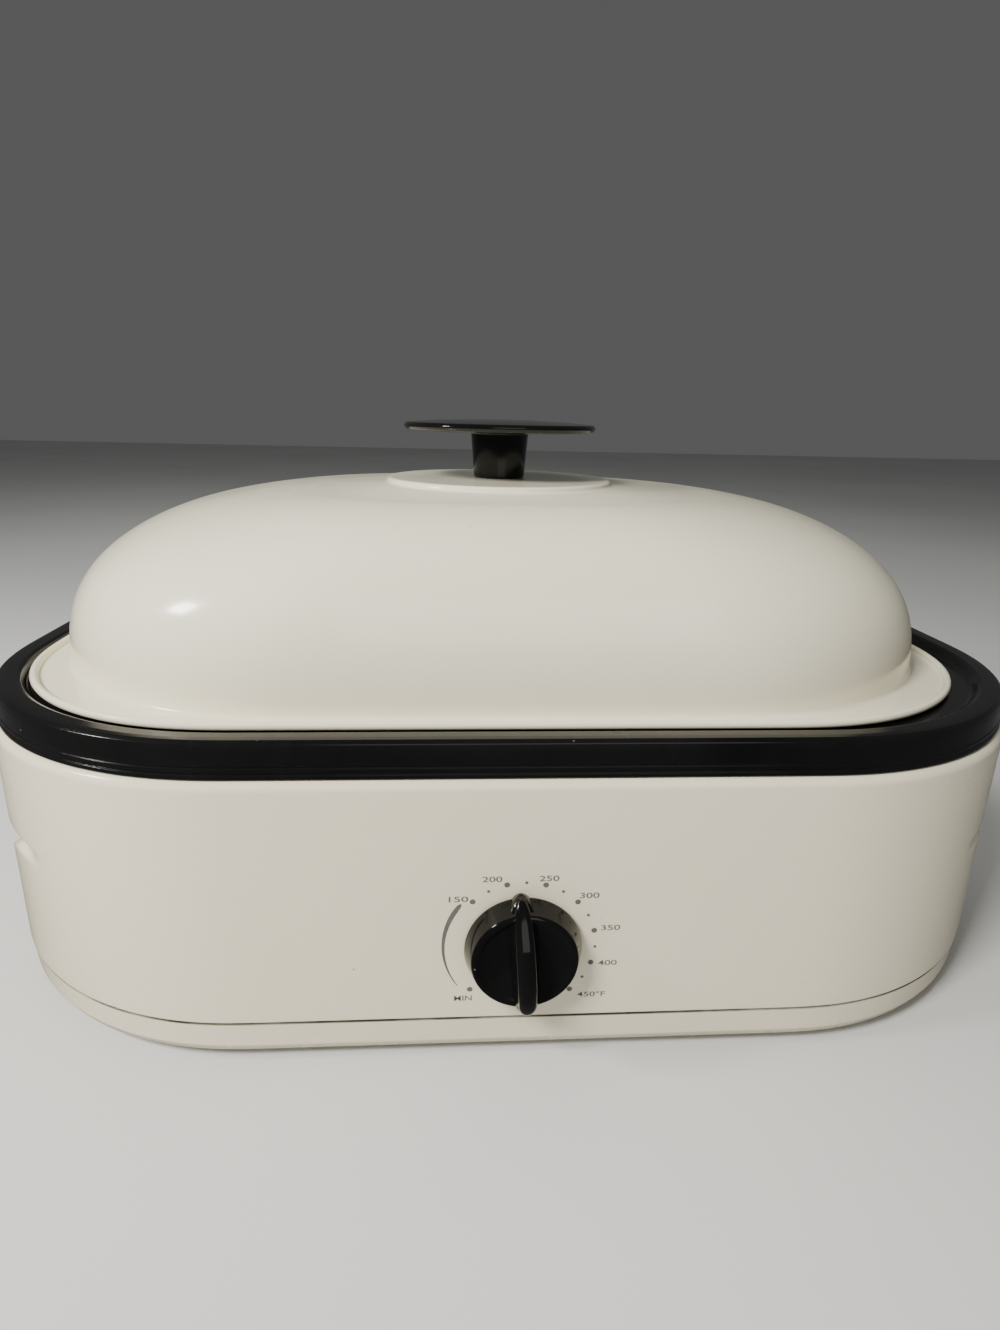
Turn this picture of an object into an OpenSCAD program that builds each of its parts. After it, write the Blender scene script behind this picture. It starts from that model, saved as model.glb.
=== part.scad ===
// Countertop electric roaster oven: enamelled body, black rim, lift-off domed
// lid, removable roasting pan with a wire rack, one front temperature knob.
// Millimetres, +Z up. The origin is the middle of the whole outer box, knob
// included, on the table, so the housing's own middle lies at y = back.
// X runs along the length, -Y is the front.
//
// Every shell is a section swept round one rounded rectangle, the lower edge of
// the black rim. A section is drawn in (o, z): o is the distance out from that
// outline, negative inward.

/* [Outline] */
// Half length of the rim outline, centre to end
half_len = 280; // [260:1:300]
// Half depth of the rim outline, centre to front
half_dep = 200; // [190:1:215]
// Corner radius of the rim outline
corner_r = 145; // [135:1:155]

/* [Heights] */
// Height of the feet under the base
foot_h = 5; // [4:0.5:8]
// Height of the seam between base pan and body wall
seam_z = 23.6; // [22:0.2:26]
// Height of the lower edge of the black rim
rim_z = 147; // [145:0.5:150]

/* [Lid] */
// Half length of the dome where it meets the flange
dome_len = 249; // [240:1:251]
// Half depth of the dome where it meets the flange
dome_dep = 168.5; // [154:0.5:170]
// Plan corner radius of the dome at the flange
dome_r = 143.5; // [100:0.5:148]
// Height of the dome above the flange
dome_h = 93; // [80:0.2:105]
// Fullness of the dome's shoulder
dome_full = 2.7; // [2.2:0.05:3.2]
// Radius of the raised round pad in the middle of the lid
pad_r = 70; // [62:1:76]
// Sheet thickness of the lid
lid_t = 1.2; // [1:0.1:1.6]
// How far the loose lid sits off centre along the length
lid_off = -5; // [-6:0.5:6]

/* [Lid handle] */
// Radius of the handle's disc
disc_r = 59; // [50:1:66]
// Height of the handle's stem under the disc
stem_h = 27.4; // [24:0.2:34]

/* [Knob and dial] */
// How far the knob's axis stands off centre along the length
dial_x = -2.5; // [-6:0.5:6]
// Height of the knob's axis above the table
dial_z = 63.6; // [60:0.2:72]
// Radius of the knob's skirt where it meets the wall
skirt_r = 27.4; // [24:0.2:29]
// Length of the knob's grip bar
bar_len = 59; // [50:1:62]
// Angle the bar points to, clockwise from straight up
bar_angle = -4; // [-134:1:137]

/* [End grips] */
// Half length of each grip recess
grip_half = 140; // [100:1:142]
// Lower edge of the recess
grip_z0 = 62; // [58:1:66]
// Upper edge of the recess
grip_z1 = 90; // [86:1:96]

/* [Pan and rack] */
// Inside depth of the roasting pan
pan_depth = 118; // [110:1:120]
// Number of cross wires in the rack
rack_bars = 13; // [9:2:15]

/* [Hidden] */
$fn = 72;
cx = half_len - corner_r;            // corner centres of the outline
cy = half_dep - corner_r;
front_y = half_dep + 2.5;            // outer face of the body wall
inner_y = half_dep + 1.5;            // inner face of the body wall
base_z = foot_h;                     // underside of the base pan
floor_t = 1.2;
well_z = base_z + 24;                // underside of the liner's floor
shield_z = base_z + 12;              // underside of the heat shield
flange_z = rim_z + 13.6;             // underside of the lid's flange
dome_z = flange_z + lid_t;
pad_z = dome_z + dome_h + 3.1;       // top of the lid's round pad
pan_top = flange_z - 0.2;
pan_z = pan_top - pan_depth - 1.2;   // underside of the pan's floor
disc_z = pad_z + stem_h;             // underside of the handle's disc
rack_z = pan_z + 12.2;               // centre of the rack's frame wire
rack_o = -69;
grip_o = -16;                        // back of the grip recess
back = 9.75;                         // the housing's middle, behind the origin
gland_x = -118;
gland_z = 46;
split_x = 235;                       // where the end sheets of the wall begin

ivory = [0.86, 0.85, 0.80];
black = [0.05, 0.05, 0.05];
steel = [0.72, 0.73, 0.74];

// ---- helpers -------------------------------------------------------------

// from the housing's own middle to the origin
module placed() translate([0, back, 0]) children();

// the outline moved out by o, as a flat shape
module outline(o) {
    r = corner_r + o;
    square([2 * (cx + r), 2 * cy], center = true);
    square([2 * cx, 2 * (cy + r)], center = true);
    for (sx = [-1, 1], sy = [-1, 1]) translate([sx * cx, sy * cy]) circle(r);
}
module slab(o, z, h) translate([0, 0, z]) linear_extrude(h) outline(o);

// a section in (o, z) swept all round the outline
module sweep() {
    for (q = [0 : 3])
        translate([(q == 0 || q == 3 ? 1 : -1) * cx, (q < 2 ? 1 : -1) * cy, 0])
            rotate([0, 0, 90 * q]) rotate_extrude(angle = 90)
                translate([corner_r, 0]) children();
    for (s = [0, 180]) {
        rotate([0, 0, s]) rotate([90, 0, 90]) linear_extrude(2 * cx, center = true)
            translate([cy + corner_r, 0]) children();
        rotate([0, 0, s]) rotate([90, 0, 0]) linear_extrude(2 * cy, center = true)
            translate([cx + corner_r, 0]) children();
    }
}
function arc(c, r, a0, a1, n) =
    [for (i = [0 : n]) let (a = a0 + (a1 - a0) * i / n) [c[0] + r * cos(a), c[1] + r * sin(a)]];

// a round bar between two points, and a bent wire through several
module rod(a, b, r) {
    d = b - a;
    l = norm(d);
    translate(a) rotate([0, acos(d[2] / l), atan2(d[1], d[0])]) cylinder(h = l, r = r, $fn = 24);
}
module wire(p, r) {
    for (i = [0 : len(p) - 2]) rod(p[i], p[i + 1], r);
    if (len(p) > 2) for (i = [1 : len(p) - 2]) translate(p[i]) sphere(r * 1.3, $fn = 32);
}
// a thin bent lead with ten flat sides, mitred at each bend and free of twist
function unit(v) = v / norm(v);
function flat(v, t) = unit(v - t * (v * t));
module lead(p, r) {
    n = 10;
    k = len(p);
    d = [for (i = [0 : k - 2]) unit(p[i + 1] - p[i])];
    t = [for (i = [0 : k - 1]) unit(d[max(i - 1, 0)] + d[min(i, k - 2)])];
    u = [for (i = 0, w = flat([0.3, 0.5, 0.8], t[0]); i < k; i = i + 1, w = flat(w, t[min(i, k - 1)])) w];
    polyhedron(points = [for (i = [0 : k - 1]) let (
            a = d[max(i - 1, 0)], b = d[min(i, k - 2)], v = cross(t[i], u[i]),
            w = norm(a - b) > 0.01 ? unit(a - b) : u[i], m = 1 / max(0.4, t[i] * b))
        for (j = [0 : n - 1]) let (q = u[i] * cos(36 * j) + v * sin(36 * j))
            p[i] + r * (q + w * (q * w) * (m - 1))],
        faces = concat([[for (j = [n - 1 : -1 : 0]) j]], [[for (j = [0 : n - 1]) (k - 1) * n + j]],
            [for (i = [0 : k - 2], j = [0 : n - 1], h = [0, 1])
                let (e = i * n + j, f = i * n + (j + 1) % n, g = e + n, l = f + n)
                h == 0 ? [e, f, l] : [e, l, g]]), convexity = 6);
}
// things that stand on the front wall: +Z of the child points out of it
module on_front() translate([dial_x, -front_y, dial_z]) rotate([90, 0, 0]) children();
module at_corners(x, y) for (sx = [-1, 1], sy = [-1, 1]) translate([sx * x, sy * y, 0]) children();

module stadium(l, w) {               // long side along X
    square([l - w, w], center = true);
    for (s = [-1, 1]) translate([s * (l - w) / 2, 0]) circle(w / 2);
}
// the grip recess as a bar across an end wall, grown by g
module grip_bar(s, g) {
    h = grip_z1 - grip_z0;
    translate([s * (half_len - 62), 0, (grip_z0 + grip_z1) / 2]) rotate([90, 0, s * 90])
        linear_extrude(92, center = false) stadium(2 * grip_half + 2 * g, h + 2 * g);
}
// positions round the rim for the collar's screws, and for the base brackets
rim_pts = [for (s = [-1, 1], x = [-110, 0, 110]) [x, s * (half_dep - 9)],
           for (s = [-1, 1]) [s * (half_len - 9), 0]];
foot_pts = [for (s = [-1, 1], x = [-95, 95]) [x, s]];

// ---- body ----------------------------------------------------------------

module wall() difference() {
    sweep() polygon(concat(
        [[1.5, seam_z + 0.4], [2.5, seam_z + 0.4]],
        arc([-2, rim_z - 4.5], 4.5, 0, 90, 5),
        [[-14, rim_z], [-14, rim_z - 1], [-2, rim_z - 1]],
        arc([-2, rim_z - 4.5], 3.5, 72, 0, 4)));
    for (s = [-1, 1]) grip_bar(s, 0);
    on_front() translate([0, 0, -5]) cylinder(h = 10, r = 5.6);
    translate([gland_x, front_y - 5, gland_z]) rotate([-90, 0, 0]) cylinder(h = 10, r = 7);
    for (p = rim_pts) translate([p[0], p[1], rim_z - 3]) cylinder(h = 5, r = 2.4, $fn = 32);
}
// the wall is made of a front and a back sheet and two end sheets, which meet
// edge to edge round the corners
module body_sides() placed() color(ivory) intersection() {
    wall();
    cube([2 * split_x - 0.02, 3 * half_dep, 4 * rim_z], center = true);
}
module body_ends() placed() color(ivory) difference() {
    wall();
    cube([2 * split_x + 0.02, 3 * half_dep, 4 * rim_z], center = true);
}

module base_pan() placed() color(ivory) difference() {
    union() {
        slab(-5, base_z, floor_t);
        sweep() polygon(concat(
            [[-5.4, base_z], [-3.4, base_z]],
            arc([-3.4, base_z + 5], 5, -72, 0, 4),
            [[2, seam_z - 0.4], [1.3, seam_z - 0.4], [1.3, seam_z + 7], [0.2, seam_z + 7],
             [0.2, seam_z - 2], [0.6, seam_z - 2.6], [0.4, base_z + 5.2]],
            arc([-3.4, base_z + 5], 3.8, 0, -90, 4),
            [[-5.4, base_z + floor_t]]));
    }
    at_corners(165, 118) translate([0, 0, base_z - 1]) cylinder(h = 4, r = 4);
    for (p = foot_pts) translate([p[0], p[1] * (half_dep - 12), base_z - 1]) cylinder(h = 4, r = 2.1, $fn = 32);
    for (s = [-1, 1]) translate([s * (half_len - 12), 0, base_z - 1]) cylinder(h = 4, r = 2.1, $fn = 32);
    translate([-178, 60, base_z - 1]) cylinder(h = 4, r = 2.1, $fn = 32);
    // cooling slots
    for (s = [-1, 1], i = [-4 : 4]) translate([i * 18, s * 160, base_z - 1])
        linear_extrude(4) rotate(90) stadium(20, 5);
}

module feet() placed() color(black) at_corners(165, 118) translate([0, 0, base_z - foot_h])
    rotate_extrude() polygon([[0, 0], [10, 0], [11.5, foot_h - 1.5], [11.5, foot_h], [3.9, foot_h],
        [3.9, foot_h + floor_t], [6, foot_h + floor_t], [4, foot_h + floor_t + 3], [0, foot_h + floor_t + 3]]);

module base_brackets() placed() color(steel) {
    for (p = foot_pts) translate([p[0], 0, 0]) rotate([0, 0, p[1] > 0 ? 0 : 180])
        translate([0, half_dep, 0]) base_bracket();
    for (s = [-1, 1]) rotate([0, 0, s * -90]) translate([0, half_len, 0]) base_bracket();
}
module base_bracket() difference() {
    rotate([90, 0, 90]) linear_extrude(16, center = true) polygon([
        [-24, base_z + floor_t], [-5.3, base_z + floor_t], [-5.3, 48], [1.5, 48], [1.5, 60],
        [0.3, 60], [0.3, 49.2], [-6.5, 49.2], [-6.5, base_z + floor_t + 1.2], [-24, base_z + floor_t + 1.2]]);
    translate([0, -12, 0]) cylinder(h = 20, r = 1.96, $fn = 32);
}
module pan_screw(z, l) translate([0, 0, z]) union() {
    translate([0, 0, -2.2]) cylinder(h = 2.2, r1 = 2.6, r2 = 3.8, $fn = 32);
    cylinder(h = l, r = 1.9, $fn = 32);
}
module base_screws() placed() color(steel) {
    for (p = foot_pts) translate([p[0], p[1] * (half_dep - 12), 0]) pan_screw(base_z, 9);
    for (s = [-1, 1]) translate([s * (half_len - 12), 0, 0]) pan_screw(base_z, 9);
}

module rim_collar() placed() color(black) difference() {
    union() {
        difference() {
            sweep() polygon([
                [0, rim_z + 0.2], [0, rim_z + 2.2], [-0.5, rim_z + 2.8], [-0.3, rim_z + 3.4], [-0.3, rim_z + 5],
                [-0.8, rim_z + 5.6], [-0.5, rim_z + 6.2], [-0.9, rim_z + 13], [-1.5, rim_z + 16],
                [-2.8, rim_z + 17.4], [-5, rim_z + 17.6], [-11.4, rim_z + 17.5], [-12.8, rim_z + 16.8],
                [-15.2, rim_z + 13.4], [-16.6, rim_z + 12.6], [-26.4, rim_z + 12.4], [-26.8, rim_z + 10],
                [-37.2, rim_z + 10], [-37.2, rim_z + 0.8], [-35.2, rim_z + 0.8], [-35.2, rim_z + 8],
                [-24.6, rim_z + 8], [-24, rim_z + 10.4], [-14.6, rim_z + 10.6], [-11.2, rim_z + 15.3],
                [-4.4, rim_z + 15.4], [-3.4, rim_z + 14.2], [-3, rim_z + 0.2]]);
        }
        for (p = rim_pts) translate([p[0], p[1], rim_z + 0.8]) cylinder(h = 12.4, r = 4, $fn = 40);
    }
    for (p = rim_pts) translate([p[0], p[1], rim_z]) cylinder(h = 10, r = 1.7, $fn = 32);
}
module collar_screws() placed() color(steel) for (p = rim_pts) translate([p[0], p[1], rim_z - 1]) union() {
    translate([0, 0, -2.2]) cylinder(h = 2.2, r1 = 2.6, r2 = 3.8, $fn = 32);
    cylinder(h = 10, r = 1.7, $fn = 32);
}

module grip_cups() placed() color(ivory) for (s = [-1, 1]) difference() {
    intersection() {
        grip_bar(s, -0.3);
        slab(2.3, grip_z0 - 5, 60);
        difference() {
            translate([s * half_len, 0, (grip_z0 + grip_z1) / 2]) cube([120, 400, 60], center = true);
            slab(grip_o - 1.6, grip_z0 - 10, 60);
        }
    }
    // the hollow: flat ceiling, floor sloping down and out
    difference() {
        grip_bar(s, -1.8);
        slab(grip_o, grip_z0 - 10, 60);
        for (k = [0]) translate([s * (half_len - 17), 0, grip_z0 + 3.6]) rotate([0, s * 20, 0])
            translate([0, 0, -10]) cube([90, 400, 20], center = true);
    }
}

// ---- liner and heating ---------------------------------------------------

module heating_well() placed() color(steel) difference() {
    union() {
        slab(-38, well_z, 0.8);
        sweep() polygon([[-38, well_z], [-38, rim_z], [-5, rim_z], [-5, rim_z + 0.8],
            [-38.8, rim_z + 0.8], [-38.8, well_z + 0.4], [-38.4, well_z]]);
    }
    for (p = rim_pts) translate([p[0], p[1], rim_z - 3]) cylinder(h = 5, r = 2.4, $fn = 32);
}
module insulation_blanket() placed() color([0.93, 0.86, 0.55]) difference() {
    sweep() translate([-35.8, well_z + 1]) square([11.8, rim_z - well_z - 5]);
    translate([0, -half_dep + 28, 60]) cube([130, 50, 100], center = true);
}
module heating_element() placed() color([0.6, 0.56, 0.5]) difference() {
    sweep() translate([-38, well_z + 8]) square([1.8, 42]);
    translate([0, -half_dep + 38, well_z + 30]) cube([60, 30, 70], center = true);
}
module element_clips() placed() color(steel) for (x = [-110, 110], s = [-1, 1])
    translate([x, s * (half_dep - 36.2), 0]) rotate([0, 0, s > 0 ? 0 : 180])
        translate([-6, 0, well_z + 4]) cube([12, 0.4, 50]);
module element_terminals() placed() color([0.93, 0.92, 0.88]) for (s = [-1, 1])
    translate([s * 42, -half_dep + 36.2, well_z + 32]) rotate([90, 0, 0]) union() {
        cylinder(h = 6, r = 4.2, $fn = 40);
        cylinder(h = 13, r = 1.6, $fn = 32);
        translate([0, 0, 6]) cylinder(h = 1, r = 3, $fn = 32);
    }
module heat_shield() placed() color(steel) difference() {
    union() {
        slab(-52, shield_z, 0.8);
        sweep() polygon([[-52, base_z + floor_t], [-52, shield_z + 0.8], [-52.8, shield_z + 0.8],
            [-52.8, base_z + floor_t]]);
    }
    at_corners(165, 118) translate([0, 0, base_z]) cylinder(h = 20, r = 9);
    // notch for the earth lead
    translate([-182, 128, base_z]) cube([12, 20, 9.5]);
}
module well_brackets() placed() color(steel) for (sx = [-1, 1], sy = [-1, 1])
    translate([sx * 150, sy * 82, 0]) mirror([sx > 0 ? 0 : 1, 0, 0]) rotate([90, 0, 0]) linear_extrude(24, center = true) polygon([
        [-16, shield_z + 0.8], [8, shield_z + 0.8], [8, well_z - 1.2], [22, well_z - 1.2], [22, well_z],
        [6.8, well_z], [6.8, shield_z + 2], [-16, shield_z + 2]]);
module sensor_bulb() placed() color([0.8, 0.55, 0.35]) union() {
    translate([-40, -100, well_z - 3.1]) rotate([0, 90, 0]) cylinder(h = 76, r = 3, $fn = 40);
    wire([[35, -100, well_z - 3.1], [52, -118, well_z - 6], [47, -inner_y + 20, well_z - 6],
          [47, -inner_y + 19, 52], [dial_x + 22.2, -inner_y + 18, 54]], 1.1);
}
module bulb_clips() placed() color(steel) for (x = [-28, 18]) translate([x, -100, 0]) difference() {
    translate([-4, -8, well_z - 7.2]) cube([8, 16, 7.2]);
    translate([-5, -6.8, well_z - 6.2]) cube([10, 13.6, 7]);
}
module thermal_fuse() placed() color([0.85, 0.85, 0.8]) union() {
    translate([62, -30, well_z - 3.2]) rotate([0, 90, 0]) cylinder(h = 15, r = 3, $fn = 40);
    translate([55, -30, well_z - 3.2]) rotate([0, 90, 0]) cylinder(h = 29, r = 1, $fn = 24);
}

// ---- thermostat and knob -------------------------------------------------

module thermostat_body() placed() color([0.35, 0.33, 0.3]) on_front() difference() {
    union() {
        translate([-21, -17, -24.6]) cube([42, 34, 20]);
        translate([-13, -13, -4.6]) cube([26, 26, 1.6]);
        translate([0, 0, -4.6]) cylinder(h = 10, r = 4.9, $fn = 60);
        for (s = [-1, 1]) translate([s * 12, 0, -30]) translate([-3, -0.5, 0]) cube([6, 1, 6]);
    }
    translate([0, 0, -14]) cylinder(h = 30, r = 3.06, $fn = 60);
}
module thermostat_bracket() placed() color(steel) on_front() difference() {
    union() {
        translate([-26, -22, -2.2]) cube([52, 44, 1.2]);
        for (s = [-1, 1]) translate([s * 25.4 - 0.6, -22, -14]) cube([1.2, 44, 12]);
    }
    translate([0, 0, -6]) cylinder(h = 8, r = 5.1, $fn = 60);
}
module thermostat_nut() placed() color([0.8, 0.68, 0.35]) on_front() difference() {
    cylinder(h = 2.6, r = 8.4, $fn = 6);
    translate([0, 0, -1]) cylinder(h = 5, r = 4.95, $fn = 60);
}
module thermostat_shaft() placed() color(steel) on_front() rotate([0, 0, -bar_angle]) difference() {
    translate([0, 0, -12]) cylinder(h = 29.8, r = 3, $fn = 60);
    translate([1.6, -5, 7]) cube([5, 10, 20]);
}
module control_knob() placed() color(black) on_front() rotate([0, 0, -bar_angle]) difference() {
    union() {
        rotate_extrude($fn = 96) polygon([[0, 5.8], [22.6, 5.8], [24.6, 1], [skirt_r - 0.4, 1], [skirt_r, 1.8],
            [skirt_r - 3.6, 12], [skirt_r - 4.2, 12.6], [skirt_r - 5.4, 12.4], [skirt_r - 6.6, 11.4], [0, 11]]);
        intersection() {
            translate([0, 0, 1.2]) linear_extrude(24) rotate(90) stadium(bar_len, 13.7);
            translate([0, 0, 23.5 - 46]) rotate([0, 90, 0]) cylinder(h = 30, r = 46, center = true, $fn = 120);
        }
    }
    difference() {
        translate([0, 0, 0]) cylinder(h = 18, r = 3.02, $fn = 60);
        translate([1.65, -5, 7]) cube([5, 10, 20]);
    }
    // room under the skirt for the nut and the bushing
    cylinder(h = 5.8, r = 22.6, $fn = 96);
}

// ---- wiring --------------------------------------------------------------

module cord_gland() placed() color(black) translate([gland_x, front_y, gland_z]) rotate([-90, 0, 0]) difference() {
    union() {
        cylinder(h = 4, r1 = 11, r2 = 9.5, $fn = 60);
        translate([0, 0, -1]) cylinder(h = 2, r = 6.9, $fn = 60);
        translate([0, 0, -6]) cylinder(h = 5, r = 9, $fn = 60);
    }
    translate([0, 0, -8]) cylinder(h = 16, r = 4, $fn = 60);
}
module ground_screw() placed() color([0.4, 0.7, 0.4]) translate([-178, 60, base_z]) union() {
    translate([0, 0, floor_t + 1.8]) cylinder(h = 2.4, r = 4, $fn = 32);
    translate([0, 0, -0.4]) cylinder(h = floor_t + 3, r = 1.9, $fn = 32);
}
module ground_tag() placed() color([0.85, 0.75, 0.4]) difference() {
    union() {
        translate([-178, 60, base_z + floor_t]) cylinder(h = 1.6, r = 5, $fn = 40);
        translate([-182, 60, base_z + floor_t]) cube([8, 16, 1.6]);
    }
    translate([-178, 60, base_z]) cylinder(h = 6, r = 2, $fn = 32);
}
module lead_wires() placed() color([0.75, 0.2, 0.15]) {
    // live: cord entry to the thermostat
    lead([[gland_x, front_y - 9, gland_z + 1.6], [gland_x, front_y - 12, 26], [gland_x + 6, 150, 23.4],
          [-66, -150, 23.4], [-50, -inner_y + 20, 24], [dial_x - 36, -inner_y + 18, 52], [dial_x - 22.8, -inner_y + 18, 60]], 1.3);
    // neutral: cord entry through the fuse to one element terminal
    lead([[gland_x + 3.4, front_y - 9, gland_z - 1.6], [gland_x + 5, front_y - 16, 26], [gland_x + 16, 150, 23.4],
          [30, -10, 23.4], [54, -30, well_z - 3.2]], 1.3);
    lead([[92, -30, well_z - 3.2], [100, -50, 23.4], [70, -150, 23.4], [62, -inner_y + 15, 26],
          [60, -inner_y + 17, 50], [42, -half_dep + 21.6, well_z + 32]], 1.3);
    // switched live: thermostat to the other terminal
    lead([[dial_x - 22.8, -inner_y + 18, 72], [dial_x - 36, -inner_y + 18, 72], [-42, -half_dep + 21.6, well_z + 32]], 1.3);
    // earth: cord entry to the tag on the base
    lead([[gland_x - 3.4, front_y - 9, gland_z - 1.6], [gland_x - 6, front_y - 12, 20], [-176, 150, 12],
          [-178, 78, base_z + floor_t + 3.1]], 1.3);
}

// ---- pan and rack --------------------------------------------------------

module roasting_pan() placed() color(black) union() {
    slab(-64, pan_z, 1.2);
    sweep() polygon(concat(
        arc([-28.6, pan_top - 1.6], 1.6, 250, -90, 10),
        [[-28.6, pan_top - 3.2]]));
    sweep() polygon(concat(
        [[-28.6, pan_top], [-42, pan_top]],
        arc([-42, pan_top - 3], 3, 90, 180, 3),
        [[-50.5, pan_z + 14]],
        arc([-63.5, pan_z + 14.2], 13, 0, -90, 4),
        [[-66, pan_z + 1.2], [-66, pan_z]],
        arc([-63.5, pan_z + 14.2], 14.2, -90, 0, 4),
        [[-43.8, pan_top - 4]],
        arc([-42, pan_top - 3], 1.8, 180, 90, 3),
        [[-28.6, pan_top - 1.2]]));
}
module rack_grid() placed() color(steel) union() {
    sweep() translate([rack_o, rack_z]) circle(2.4, $fn = 24);
    for (i = [0 : rack_bars - 1]) {
        x = (i - (rack_bars - 1) / 2) * 28;
        r = corner_r + rack_o;
        y = cy + (abs(x) <= cx ? r : sqrt(r * r - pow(abs(x) - cx, 2)));
        rod([x, -y, rack_z], [x, y, rack_z], 1.5);
    }
    for (s = [-1, 1]) rod([-(half_len + rack_o), s * 30, rack_z - 2.2], [half_len + rack_o, s * 30, rack_z - 2.2], 1.9);
    // legs
    for (sx = [-1, 1], s = [-1, 1]) rod([sx * 154, s * 30, rack_z - 2.2], [sx * 154, s * 30, rack_z - 10.7], 1.6);
}
// each lift loop is welded to the outside of the frame wire
module rack_loops() placed() color(steel) for (sx = [-1, 1])
    translate([sx * (half_len + rack_o + 4.63), 0, rack_z]) wire([
        [0, -45, -2.2], [0, -45, 78], [0, -34, 88], [0, 34, 88], [0, 45, 78], [0, 45, -2.2]], 2.2);

// ---- lid -----------------------------------------------------------------

// one closed ring of points: a rounded rectangle of half size a, b, corner r
function ring(v, n) = [for (q = [0 : 3], i = [0 : n - 1])
    let (t = 90 * q + 90 * (i + 0.5) / n)
    [(q == 0 || q == 3 ? 1 : -1) * (v[0] - v[2]) + v[2] * cos(t),
     (q < 2 ? 1 : -1) * (v[1] - v[2]) + v[2] * sin(t), v[3]]];
// dome section: t = 0 at the flange, 90 at the crown; d is the depth under the skin
function dome(t, d) = let (
        c = pow(cos(t), 2 / dome_full), s = pow(sin(t), 2 / dome_full),
        a = 60 + (dome_len - d - 60) * c, b = 60 + (dome_dep - d - 60) * c,
        r = dome_r - d + (60 - dome_r) * pow(1 - c, 1.9))
    [a, b, min(r, b), dome_z + (dome_h - d * 0.2) * s - d * (0.2 + 0.8 * s) + 0];
// offset outline as a ring
function oring(o, z) = [half_len + o, half_dep + o, corner_r + o, z];
function lid_rings() = let (
        steps = [76, 64, 53, 43, 34, 26, 18, 11, 5, 1],
        lip = [-22.8, dome_z + 0.8])
    concat(
        [[3.2, 3.2, 3.2, pad_z], [pad_r - 2, pad_r - 2, pad_r - 2, pad_z], [pad_r, pad_r, pad_r, pad_z - 0.7],
         [pad_r + 1, pad_r + 1, pad_r + 1, pad_z - 2.4]],
        [for (t = steps) dome(t, 0)],
        [[dome_len + 0.5, dome_dep + 0.5, dome_r + 0.5, dome_z + 2.6],
         [dome_len + 1.5, dome_dep + 1.5, dome_r + 1.5, dome_z + 0.9],
         [dome_len + 3, dome_dep + 3, dome_r + 3, dome_z + 0.15],
         oring(-26, dome_z), oring(-25.2, dome_z)],
        [for (i = [0 : 7]) let (t = 165 - i * 36.4) oring(lip[0] + 2 * cos(t), lip[1] + 2 * sin(t))],
        [oring(-24.4, flange_z), oring(-26, flange_z),
         [dome_len + 2.4, dome_dep + 2.4, dome_r + 2.4, flange_z],
         [dome_len + 1, dome_dep + 1, dome_r + 1, flange_z + 0.45],
         [dome_len - 0.9, dome_dep - 0.9, dome_r - 0.9, flange_z + 2.6]],
        [for (i = [len(steps) - 2 : -1 : 0]) dome(steps[i], lid_t)],
        [[pad_r, pad_r, pad_r, pad_z - 2.4 - lid_t], [pad_r - 1.4, pad_r - 1.4, pad_r - 1.4, pad_z - lid_t],
         [3.2, 3.2, 3.2, pad_z - lid_t]]);
module lid_shell() placed() color(ivory) translate([lid_off, 0, 0]) {
    n = 11;
    rings = lid_rings();
    k = len(rings);
    m = 4 * n;
    polyhedron(points = [for (v = rings) each ring(v, n)],
        faces = [for (i = [0 : k - 1], j = [0 : m - 1], h = [0, 1])
            let (a = i * m + j, b = i * m + (j + 1) % m, c = ((i + 1) % k) * m + (j + 1) % m, d = ((i + 1) % k) * m + j)
            h == 0 ? [a, b, c] : [a, c, d]], convexity = 10);
}
module lid_handle() placed() color(black) translate([lid_off, 0, pad_z]) rotate_extrude($fn = 120) difference() {
    polygon([[0, 0], [15.2, 0], [15.4, 0.8], [17.2, stem_h - 3], [18.4, stem_h - 0.8], [20.5, stem_h],
        [disc_r - 6, stem_h], [disc_r - 1.6, stem_h + 0.6], [disc_r - 0.3, stem_h + 1.8], [disc_r, stem_h + 3],
        [disc_r - 0.5, stem_h + 4.2], [disc_r - 3, stem_h + 5.1], [disc_r - 16, stem_h + 6.2], [24, stem_h + 6.9],
        [0, stem_h + 7.2]]);
    translate([-1, -1]) square([3.5, 19]);
}
module handle_washer() placed() color(steel) translate([lid_off, 0, pad_z - lid_t - 1.2]) difference() {
    cylinder(h = 1.2, r = 11);
    translate([0, 0, -1]) cylinder(h = 4, r = 2.8, $fn = 40);
}
module handle_screw() placed() color(steel) translate([lid_off, 0, pad_z - lid_t - 1.2]) union() {
    translate([0, 0, -3]) cylinder(h = 3, r1 = 4, r2 = 5, $fn = 48);
    cylinder(h = 18, r = 2.5, $fn = 48);
}

body_sides();
body_ends();
base_pan();
feet();
base_brackets();
base_screws();
rim_collar();
collar_screws();
grip_cups();
heating_well();
insulation_blanket();
heating_element();
element_clips();
element_terminals();
heat_shield();
well_brackets();
sensor_bulb();
bulb_clips();
thermal_fuse();
thermostat_body();
thermostat_bracket();
thermostat_nut();
thermostat_shaft();
control_knob();
cord_gland();
ground_screw();
ground_tag();
lead_wires();
roasting_pan();
rack_grid();
rack_loops();
lid_shell();
lid_handle();
handle_washer();
handle_screw();
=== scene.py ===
# Looks for the electric roaster oven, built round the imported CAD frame.
# Lengths in the shape code are millimetres; to_m() turns them into metres.
import math
import bmesh
import bpy
import numpy as np
from mathutils import Matrix, Vector


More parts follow.
